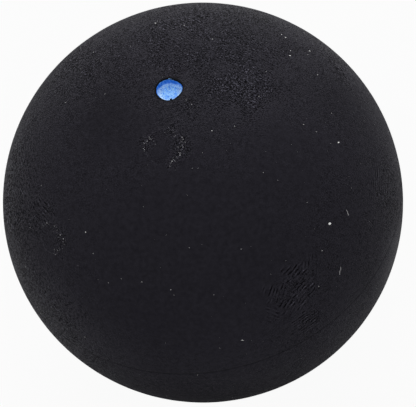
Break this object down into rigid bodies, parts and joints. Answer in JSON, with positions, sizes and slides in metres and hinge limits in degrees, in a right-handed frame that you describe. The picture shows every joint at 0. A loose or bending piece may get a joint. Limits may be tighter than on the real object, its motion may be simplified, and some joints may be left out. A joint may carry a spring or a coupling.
{
  "type": "squash ball",
  "caption": "Hollow black rubber ball for squash: thick half-shells cemented at a fine seam, with a small blue speed dot in a dimple at one pole.",
  "frame": {"origin": "centre of the ball", "axes": "+Z from the centre out through the blue dot at the pole of the dotted half-shell; the cemented joint lies in the XY plane; the ball is a solid of revolution, so X and Y have no feature of their own"},
  "size_m": [0.04, 0.04, 0.04],
  "materials": {
    "shell_rubber": "matt black, finely buffed, with a slight grain",
    "rubber_cement": "thin cured rubber cement, a little darker than the shells",
    "dot_paint": "satin light blue paint, mottled, with a sunken surface"
  },
  "bodies": {
    "root": {"dotted_half_shell": "shell_rubber", "plain_half_shell": "shell_rubber", "seam_cement": "rubber_cement", "speed_dot": "dot_paint"}
  },
  "joints": []
}
